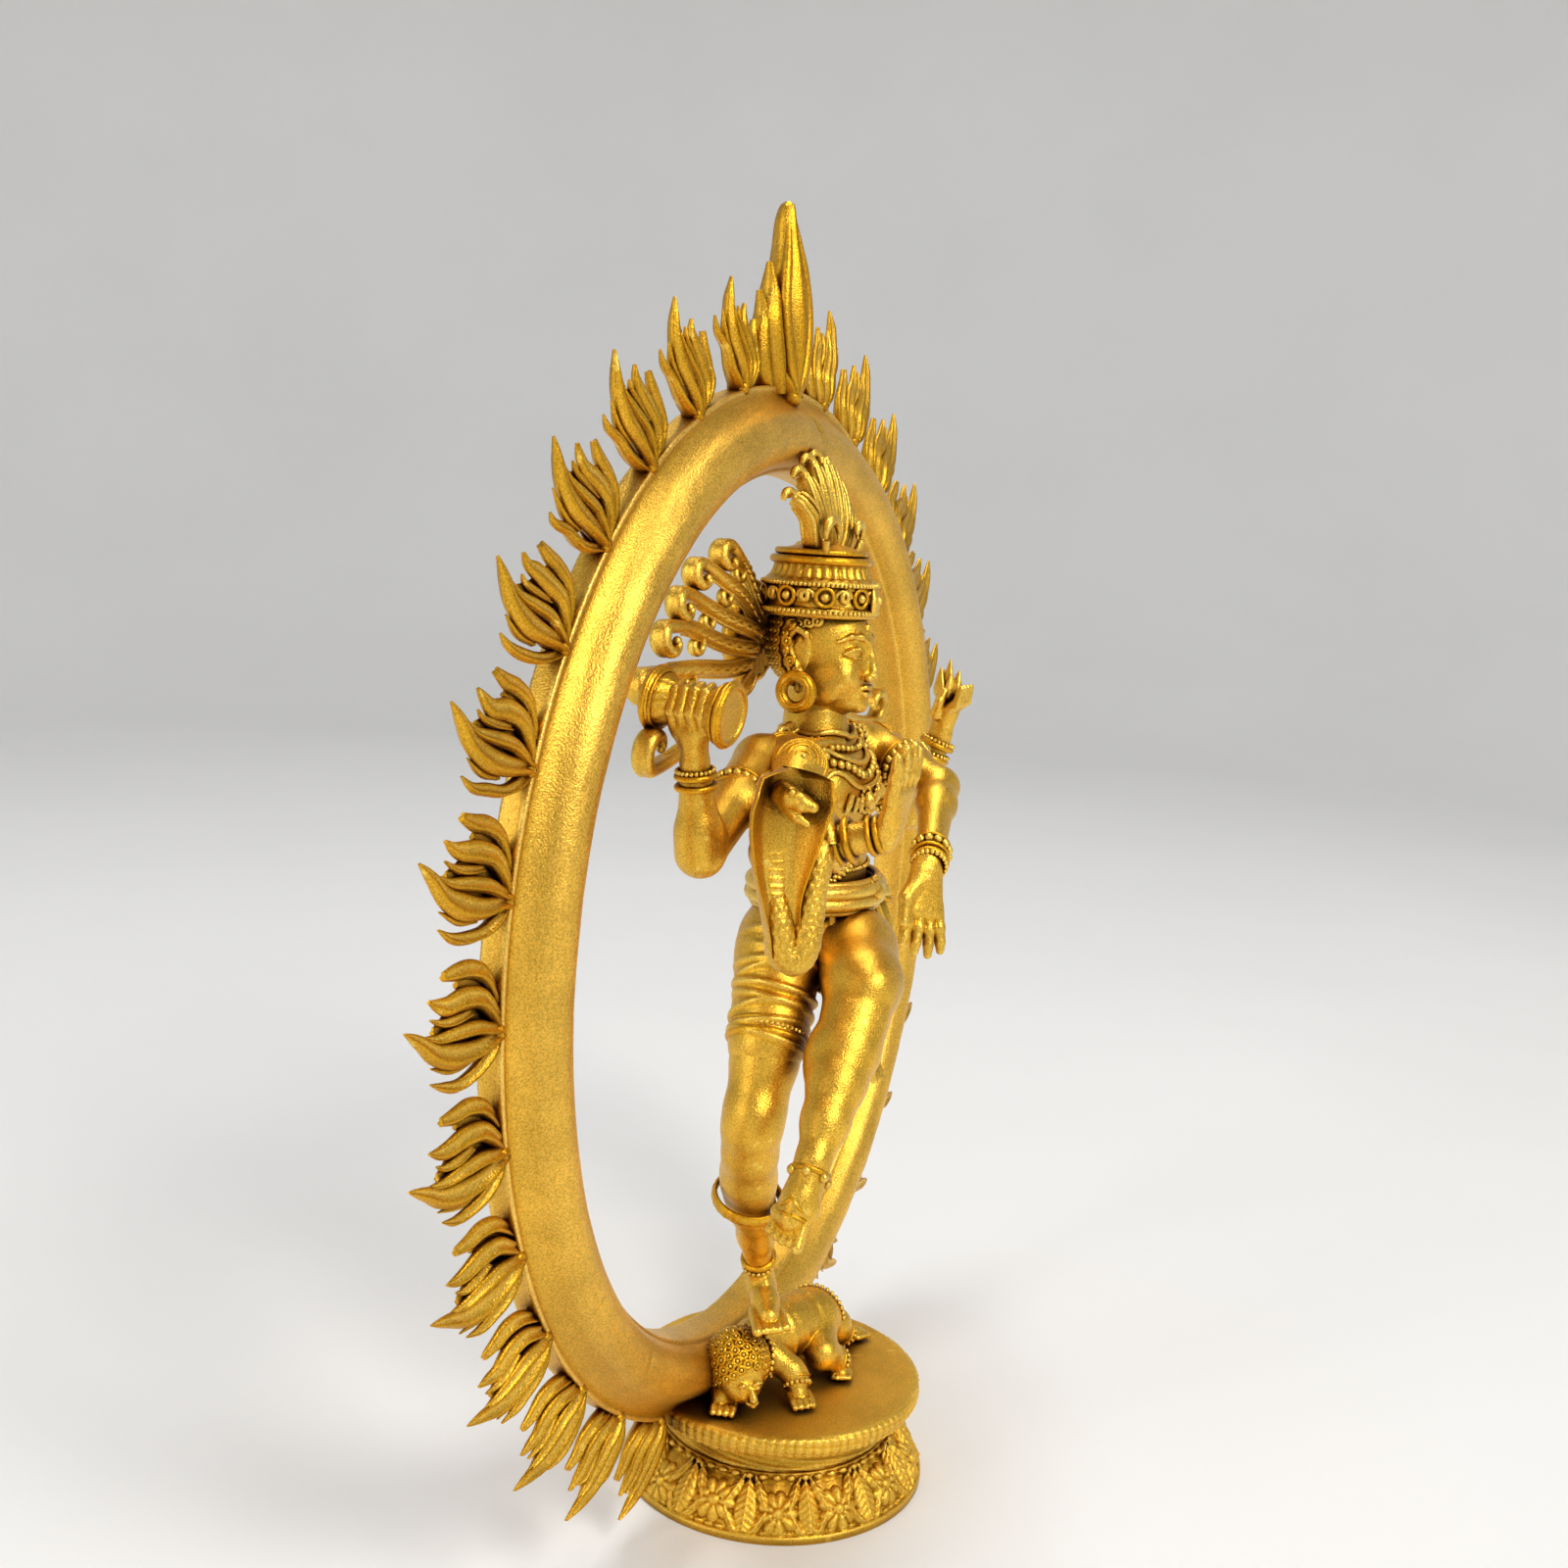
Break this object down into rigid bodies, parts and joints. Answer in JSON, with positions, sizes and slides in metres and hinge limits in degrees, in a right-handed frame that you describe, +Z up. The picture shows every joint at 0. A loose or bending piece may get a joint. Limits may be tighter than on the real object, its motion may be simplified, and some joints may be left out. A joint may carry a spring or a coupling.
{
  "type": "brass nataraja statue",
  "caption": "Cast brass dancing nataraja figure on a crouching dwarf, framed by an oval flame aureole that is seated in the slot of a round lotus pedestal; stands freely on a shelf",
  "frame": {"origin": "middle of the flat underside of the pedestal, where it meets the shelf", "axes": "+Z up, the figure faces -Y, its right hand side (the side with the hand drum) is -X"},
  "size_m": [0.1816, 0.0519, 0.2005],
  "materials": {
    "figure_brass": "grainy antique satin, dark amber in the recesses, bright yellow on raised edges",
    "ring_brass": "smooth satin with fine blasted grain",
    "flame_brass": "grainy antique satin with dark grooves and bright ridges",
    "base_brass": "satin deck with a grainy relief on the skirt"
  },
  "bodies": {
    "root": {"lotus_skirt": "base_brass", "pedestal_drum": "base_brass", "aureole_ring": "ring_brass", "flame_finial": "flame_brass", "flame_right_01": "flame_brass", "flame_left_01": "flame_brass", "flame_right_02": "flame_brass", "flame_left_02": "flame_brass", "flame_right_03": "flame_brass", "flame_left_03": "flame_brass", "flame_right_04": "flame_brass", "flame_left_04": "flame_brass", "flame_right_05": "flame_brass", "flame_left_05": "flame_brass", "flame_right_06": "flame_brass", "flame_left_06": "flame_brass", "flame_right_07": "flame_brass", "flame_left_07": "flame_brass", "flame_right_08": "flame_brass", "flame_left_08": "flame_brass", "flame_right_09": "flame_brass", "flame_left_09": "flame_brass", "flame_right_10": "flame_brass", "flame_left_10": "flame_brass", "flame_right_11": "flame_brass", "flame_left_11": "flame_brass", "flame_right_12": "flame_brass", "flame_left_12": "flame_brass", "flame_right_13": "flame_brass", "flame_left_13": "flame_brass", "flame_right_14": "flame_brass", "flame_left_14": "flame_brass", "dwarf": "figure_brass", "clothed_hips": "figure_brass", "standing_leg": "figure_brass", "raised_leg": "figure_brass", "waist_belt": "figure_brass", "torso": "figure_brass", "side_sash": "figure_brass", "head": "figure_brass", "crown_band": "figure_brass", "crown_plume": "figure_brass", "head_disc": "figure_brass", "hair_fan_right": "figure_brass", "hair_fan_left": "figure_brass", "earring_right": "figure_brass", "earring_left": "figure_brass", "arm_front_right": "figure_brass", "arm_front_left": "figure_brass", "arm_rear_right": "figure_brass", "arm_rear_left": "figure_brass", "hand_drum": "figure_brass", "hand_flame": "figure_brass", "cobra": "figure_brass", "calf_hoop": "figure_brass"}
  },
  "joints": []
}
